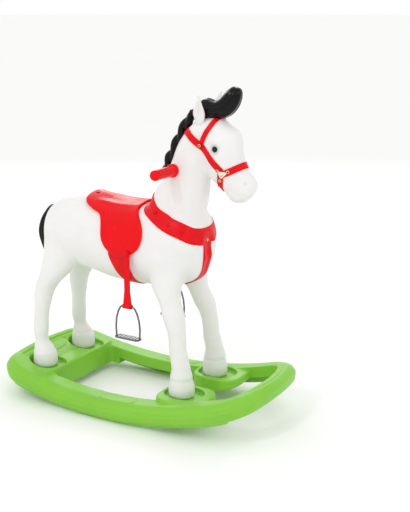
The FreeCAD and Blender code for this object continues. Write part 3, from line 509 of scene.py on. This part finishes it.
links = moulded("bridleLinksNylon", "bridle_links", linkIvory, linkSettings["voxel"])
place = coordinates(links.data)
linkSides = [(sign, place[:, 1] * sign > 0) for _, sign in sides]
for sign, side in linkSides:
    centre = place[side].mean(axis=0)
    place[side] = centre + (place[side] - centre) * [linkSettings["size"], 1.0, linkSettings["size"]]
setCoordinates(links.data, place)
work = bmesh.new()
work.from_mesh(links.data)
for sign, side in linkSides:
    centre = place[side].mean(axis=0)
    web = bmesh.new()
    for p in place[side][::linkSettings["webStep"]]:
        spot = centre + (p - centre) * [linkSettings["web"], 1.0, linkSettings["web"]]
        web.verts.new(spot - [0, sign * linkSettings["webLift"] * mm, 0])
    bmesh.ops.convex_hull(web, input=web.verts)
    bmesh.ops.delete(web, geom=[v for v in web.verts if not v.link_faces], context="VERTS")
    addMesh(work, web, "linkWeb")
work.to_mesh(links.data)
work.free()
links.data.polygons.foreach_set("use_smooth", [True] * len(links.data.polygons))
follow(links)
print("straps done")


# eyelets with a dark hole in place of the plain rivets

eyeletSettings = {"flange": 4.2, "hole": 2.0, "height": 1.5, "seatDrop": 1.9, "steps": 24, "nearPoints": 12,
                  "redPast": {"bridle_rivets": None, "collar_rivets": 10}}  # red beyond this from the middle


def loosePieces(mesh):  # the points of each separate solid in a mesh
    work = bmesh.new()
    work.from_mesh(mesh)
    bmesh.ops.remove_doubles(work, verts=work.verts, dist=1e-6)
    seen = set()
    groups = []
    for vert in work.verts:
        if vert.index in seen:
            continue
        stack = [vert]
        seen.add(vert.index)
        group = []
        while stack:
            current = stack.pop()
            group.append(current.co.copy())
            for edge in current.link_edges:
                other = edge.other_vert(current)
                if other.index not in seen:
                    seen.add(other.index)
                    stack.append(other)
        groups.append(group)
    work.free()
    return groups


def eyeletRing(red):  # one eyelet about +Z, with its parts' material slots
    flange, hole, height = (eyeletSettings[key] * mm for key in ("flange", "hole", "height"))
    ring = lathe([(flange, -0.6 * height), (flange, 0.1 * height), (0.93 * flange, 0.55 * height),
                  (0.72 * flange, 0.95 * height), (0.55 * flange, height), (1.1 * hole, 0.75 * height),
                  (hole, 0.4 * height), (0.95 * hole, -0.2 * height), (0.3 * hole, -0.22 * height)],
                 eyeletSettings["steps"])
    for face in ring.faces:
        inHole = face.calc_center_median().to_2d().length < hole * 0.8
        face.material_index = 2 if red else int(inHole)
    return ring


def eyelets(node, name):
    redPast = eyeletSettings["redPast"][node]
    work = bmesh.new()
    for group in loosePieces(nodes[node].data):
        centre = sum(group, Vector()) / len(group)
        near = skinTree.find_n(centre, eyeletSettings["nearPoints"])
        outward = Vector(np.sum([horseNormals[n[1]] for n in near], axis=0)).normalized()
        level = max((p - centre).dot(outward) for p in group) - eyeletSettings["seatDrop"] * mm
        seat = centre + outward * level + Vector(moved[near[0][1]])
        turn = outward.to_track_quat("Z", "Y")
        ring = eyeletRing(redPast is not None and abs(centre.y) > redPast * mm)
        for vert in ring.verts:
            vert.co = seat + turn @ vert.co
        addMesh(work, ring, "eyelet")
    piece = newPiece(name, work)
    slots = np.zeros(len(piece.data.polygons), np.int32)
    piece.data.polygons.foreach_get("material_index", slots)
    finishPiece(piece, "horse", rivetBrass)
    piece.data.materials.append(holeDark)
    piece.data.materials.append(seatRed)
    piece.data.polygons.foreach_set("material_index", slots)
    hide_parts(node)


eyelets("bridle_rivets", "bridleEyelets")
eyelets("collar_rivets", "collarEyelets")
print("eyelets done")


# eyes: a full glossy ball behind soft lids, with a raised cornea

eyeSettings = {"half": (0.0085, 0.0082, 0.0080), "sink": 0.0088,
               "cornea": 0.10, "corneaReach": 0.45, "corneaX": 0.1}

for side, sign in sides:
    low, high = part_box(side + "_eye")
    face = high.y if sign > 0 else low.y
    middle = Vector((eyePlace[0], face - sign * eyeSettings["sink"], eyePlace[2]))
    peak = Vector((eyeSettings["corneaX"], sign, 0))
    halfX, halfY, halfZ = eyeSettings["half"]
    work = bmesh.new()
    bmesh.ops.create_icosphere(work, subdivisions=5, radius=1.0)
    for vert in work.verts:
        away = (vert.co - peak).length / eyeSettings["corneaReach"]
        cornea = 1.0 + eyeSettings["cornea"] * math.exp(-away ** 2)
        vert.co = Vector((halfX * vert.co.x, halfY * vert.co.y * cornea, halfZ * vert.co.z)) + middle
    eye = newPiece(side + "EyeBall", work)
    finishPiece(eye, "horse", eyeBlack)
    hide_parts(side + "_eye")
print("eyes done")


# three-strand braid along the crest

braidSettings = {"path": horseSettings["crest"], "periods": 1.35, "swing": 7.5, "lift": 5.0, "radius": 9.6,
                 "rootTaper": (0.6, 3), "tipTaper": (0.35, 2.2),  # width at the end, how fast it fills out
                 "steps": 150, "around": 20, "voxel": 1.2}


def alongPath(path, t):  # smooth curve through the spots of a path, for t from 0 to 1
    spot = t * (len(path) - 1)
    i = min(int(spot), len(path) - 2)
    f = spot - i
    ends = [path[max(i - 1, 0)], path[i], path[i + 1], path[min(i + 2, len(path) - 1)]]
    return [0.5 * (2 * b + (c - a) * f + (2 * a - 5 * b + 4 * c - d) * f ** 2
                   + (3 * b - a - 3 * c + d) * f ** 3) for a, b, c, d in zip(*ends)]


def tube(work, centres, radii, around):  # closed round strand through the centres
    rings = []
    for i, centre in enumerate(centres):
        way = (centres[min(i + 1, len(centres) - 1)] - centres[max(i - 1, 0)]).normalized()
        sideways = Vector((0, 1, 0)) - way * way.y
        sideways.normalize()
        outward = way.cross(sideways)
        turns = [2 * math.pi * k / around for k in range(around)]
        rings.append([work.verts.new(centre + (sideways * math.cos(a) + outward * math.sin(a)) * radii[i])
                      for a in turns])
    for low, high in zip(rings, rings[1:]):
        bridge(work, low, high)
    work.faces.new(rings[0][::-1])
    work.faces.new(rings[-1])


tipWidth, tipGain = braidSettings["tipTaper"]
rootWidth, rootGain = braidSettings["rootTaper"]
work = bmesh.new()
for strand in range(3):
    centres = []
    radii = []
    for i in range(braidSettings["steps"] + 1):
        t = i / braidSettings["steps"]
        x, z = alongPath(braidSettings["path"], t)
        ahead = alongPath(braidSettings["path"], min(t + 0.01, 1.0))
        behind = alongPath(braidSettings["path"], max(t - 0.01, 0.0))
        way = Vector((ahead[0] - behind[0], 0, ahead[1] - behind[1])).normalized()
        outward = Vector((way.z, 0, -way.x))
        phase = 2 * math.pi * (braidSettings["periods"] * t + strand / 3)
        taper = min(1.0, tipWidth + tipGain * (1 - t)) * min(1.0, rootWidth + rootGain * t)
        swing = math.sin(phase) * braidSettings["swing"] * taper * mm
        lift = math.sin(2 * phase) * braidSettings["lift"] * taper * mm
        centres.append(Vector((x, 0, z)) + Vector((0, swing, 0)) + outward * lift)
        radii.append(braidSettings["radius"] * mm * taper)
    tube(work, centres, radii, braidSettings["around"])
mane = newPiece("maneBraidMoulding", work)
remesh(mane, braidSettings["voxel"], 3)
finishPiece(mane, "horse", maneBlack)
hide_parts("mane_braid")
print("braid done")


# forelock and tail: moulded locks with strand grooves that wind round their own middle line

forelockSettings = {
    "voxel": 1.5, "strands": 7, "depth": 1.7, "twist": 4.5,
    "path": [(0.140, 0.760), (0.168, 0.769), (0.198, 0.769), (0.226, 0.780), (0.242, 0.800), (0.250, 0.822)]}
tailSettings = {
    "voxel": 1.5, "strands": 8, "depth": 1.6, "twist": 3.0,
    "path": [(-0.286, 0.492), (-0.309, 0.470), (-0.321, 0.440), (-0.324, 0.408), (-0.316, 0.374),
             (-0.300, 0.340)],
    "rootFrom": 0.45, "rootDown": 7, "backBelow": 0.47, "backOut": 3, "blend": 0.05}
pathSamples = 60
strandSettings = {"level": 0.7, "fineShare": 0.14, "fineCount": 3, "wander": 3, "wanderTurns": 7,
                  "rootFade": 6}


def locks(piece, hair):  # a groove between strands, and finer hair lines that wander a little
    place = coordinates(piece.data)
    out = normals(piece.data)
    best = np.full(len(place), 1e9)
    angle = np.zeros(len(place))
    spot = np.zeros(len(place))
    samples = [alongPath(hair["path"], i / pathSamples) for i in range(pathSamples + 1)]
    for i, (x, z) in enumerate(samples):
        before, after = samples[max(i - 1, 0)], samples[min(i + 1, pathSamples)]
        way = np.array([after[0] - before[0], 0, after[1] - before[1]])
        way /= np.linalg.norm(way)
        outward = np.array([-way[2], 0, way[0]])
        away = place - np.array([x, 0, z])
        distance = (away ** 2).sum(1)
        closer = distance < best
        best[closer] = distance[closer]
        angle[closer] = np.arctan2(away[closer, 1], away[closer] @ outward)
        spot[closer] = i / pathSamples
    strands, twist = hair["strands"], hair["twist"]
    wave = np.abs(np.sin(0.5 * (strands * angle + twist * spot)))
    wander = strandSettings["wander"] * np.sin(strandSettings["wanderTurns"] * spot)
    fine = np.sin(strands * strandSettings["fineCount"] * angle + 2 * twist * spot + wander)
    fine *= strandSettings["fineShare"]
    fadeIn = np.clip(spot * strandSettings["rootFade"], 0, 1)
    shift = ((wave - strandSettings["level"]) * hair["depth"] + fine * hair["depth"]) * fadeIn * mm
    setCoordinates(piece.data, place + out * shift[:, None])
    relaxAll(piece.data, 1)


forelock = moulded("forelockMoulding", "forelock", quiffBlack, forelockSettings["voxel"], passes=3)
locks(forelock, forelockSettings)
tail = moulded("tailMoulding", "tail", tailBlack, tailSettings["voxel"])
place = coordinates(tail.data)
root = np.clip((place[:, 2] - tailSettings["rootFrom"]) / tailSettings["blend"], 0, 1)
place[:, 2] -= root * tailSettings["rootDown"] * mm
hang = np.clip((tailSettings["backBelow"] - place[:, 2]) / tailSettings["blend"], 0, 1)
place[:, 0] -= hang * tailSettings["backOut"] * mm
setCoordinates(tail.data, place)
locks(tail, tailSettings)
print("hair done")


# stirrups, their straps, the grips and the small hardware

stirrupSettings = {"voxel": 0.7, "treadTop": 0.009, "treadBlend": 0.002, "treadNarrow": 0.3}
stirrupStrapVoxel = 0.9
gripSettings = {"voxel": 0.9, "passes": 12}

for side, _ in sides:
    iron = moulded(side + "StirrupSteel", side + "_stirrup", stirrupChrome, stirrupSettings["voxel"],
                   body=side + "_iron")
    place = coordinates(iron.data)
    low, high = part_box(side + "_stirrup")
    middle = (low.y + high.y) / 2
    tread = np.clip((low.z + stirrupSettings["treadTop"] - place[:, 2]) / stirrupSettings["treadBlend"], 0, 1)
    place[:, 1] += (middle - place[:, 1]) * stirrupSettings["treadNarrow"] * tread
    setCoordinates(iron.data, place)
    moulded(side + "StirrupStrapVinyl", side + "_stirrup_strap", strapRed, stirrupStrapVoxel,
            body=side + "_strap")
    moulded(side + "GripMoulding", side + "_grip", gripRed, gripSettings["voxel"], gripSettings["passes"])
    nodes[side + "_stirrup_pivot"].data.materials[0] = gripRed
for node, mat in (("saddle_screw", screwSteelRedReflection), ("hoof_bolts", zincSteel), ("hoof_washers", zincSteel),
                  ("handle_bar", zincSteel)):
    nodes[node].data.materials[0] = mat
print("hardware done")


# camera

cameraSettings = {"place": (1.333, -2.004, 1.025), "aim": (0.069, 0.169, 0.358),
                  "lens": 68.53, "sensor": 36.0}


def aimed(thing, place, aim):  # puts a camera or lamp at a place, looking at another
    thing.location = place
    thing.rotation_euler = (Vector(aim) - Vector(place)).to_track_quat("-Z", "Y").to_euler()
    bpy.context.scene.collection.objects.link(thing)


cameraData = bpy.data.cameras.new("camera")
cameraData.lens = cameraSettings["lens"]
cameraData.sensor_width = cameraSettings["sensor"]
camera = bpy.data.objects.new("camera", cameraData)
aimed(camera, cameraSettings["place"], cameraSettings["aim"])
bpy.context.scene.camera = camera


# floor

floorSettings = {"radius": 60.0, "edges": 96, "drop": 0.0005}
floorLook = {  # matt painted board, evenly lit
    "colour": "#FAFAF9", "dark": 0.99, "mottleMm": 900, "wearMm": 300, "rough": (0.7, 0.8), "grainMm": 4,
    "grain": 0.01}

work = bmesh.new()
bmesh.ops.create_circle(work, cap_ends=True, segments=floorSettings["edges"], radius=floorSettings["radius"])
floor = newPiece("studioFloor", work)
floor.data.materials.append(material("pale studio floor", floorLook))
floor.location.z = -floorSettings["drop"]


# lights: a small high key at the horse's right, a fill from its front right and a broad panel behind its left

lights = {
    "keyPanel": {"place": (-0.3, -1.9, 2.2), "aim": (0, 0, 0.4), "size": (0.18, 0.18), "power": 7.5},
    "sidePanel": {"place": (2.0, -0.9, 1.5), "aim": (0, 0, 0.45), "size": (0.25, 0.5), "power": 2.5},
    "backPanel": {"place": (-1.75, 2.75, 1.75), "aim": (0, 0, 0.4), "size": (2.2, 0.8), "power": 15.0}}
worldStrength = 1.0

for name, light in lights.items():
    lamp = bpy.data.lights.new(name, "AREA")
    lamp.shape = "RECTANGLE"
    lamp.size, lamp.size_y = light["size"]
    lamp.energy = light["power"]
    aimed(bpy.data.objects.new(name, lamp), light["place"], light["aim"])
world = bpy.data.worlds.new("studio")
world.use_nodes = True
world.node_tree.nodes["Background"].inputs["Color"].default_value = (1, 1, 1, 1)
world.node_tree.nodes["Background"].inputs["Strength"].default_value = worldStrength
bpy.context.scene.world = world
bpy.context.scene.view_settings.view_transform = "Standard"
print("studio done")
